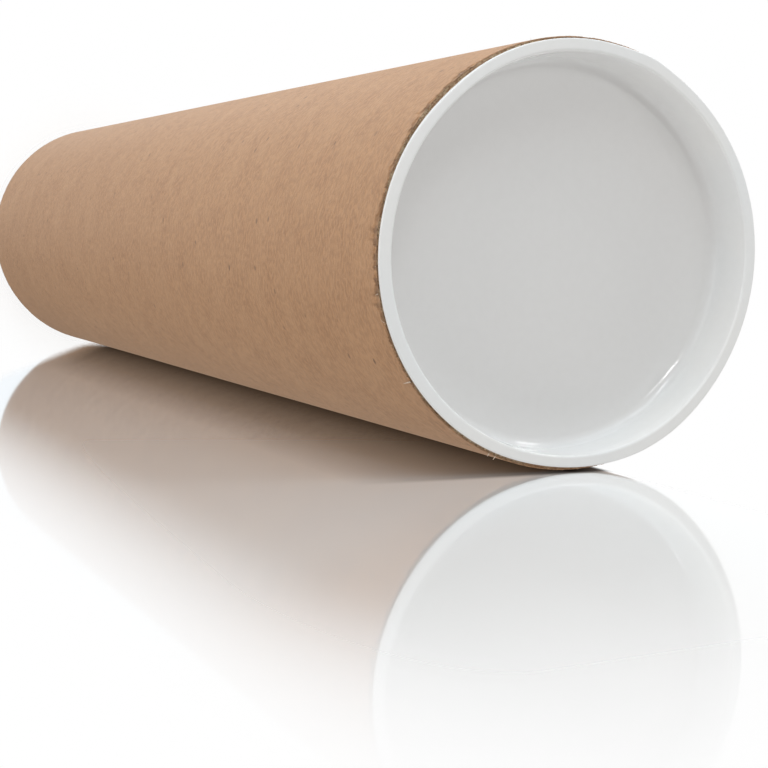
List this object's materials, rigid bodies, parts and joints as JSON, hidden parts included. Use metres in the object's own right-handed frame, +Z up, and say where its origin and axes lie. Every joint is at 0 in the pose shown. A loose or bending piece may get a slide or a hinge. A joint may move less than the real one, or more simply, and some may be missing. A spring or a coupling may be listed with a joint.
{
  "type": "cardboard mailing tube",
  "caption": "Round kraft cardboard mailing tube closed at each end by a white moulded push-in plastic cap with a recessed face, for posting rolled papers.",
  "frame": {"origin": "middle of the bottom cap's outer ring face, on which the tube stands", "axes": "+Z up along the tube, from the bottom cap to the top cap, which is the one in the picture; X and Y across it"},
  "size_m": [0.102, 0.102, 0.46],
  "materials": {
    "kraft_board": "matte",
    "white_plastic": "satin"
  },
  "bodies": {
    "tube": {"tube": "kraft_board"},
    "top_cap": {"top_cap": "white_plastic"},
    "bottom_cap": {"bottom_cap": "white_plastic"}
  },
  "joints": [
    {"name": "top_cap_pull", "type": "slide", "parent": "tube", "child": "top_cap", "axis": [0, 0, 1], "range_m": [0, 0.06]},
    {"name": "bottom_cap_pull", "type": "slide", "parent": "tube", "child": "bottom_cap", "axis": [0, 0, -1], "range_m": [0, 0.06]}
  ]
}
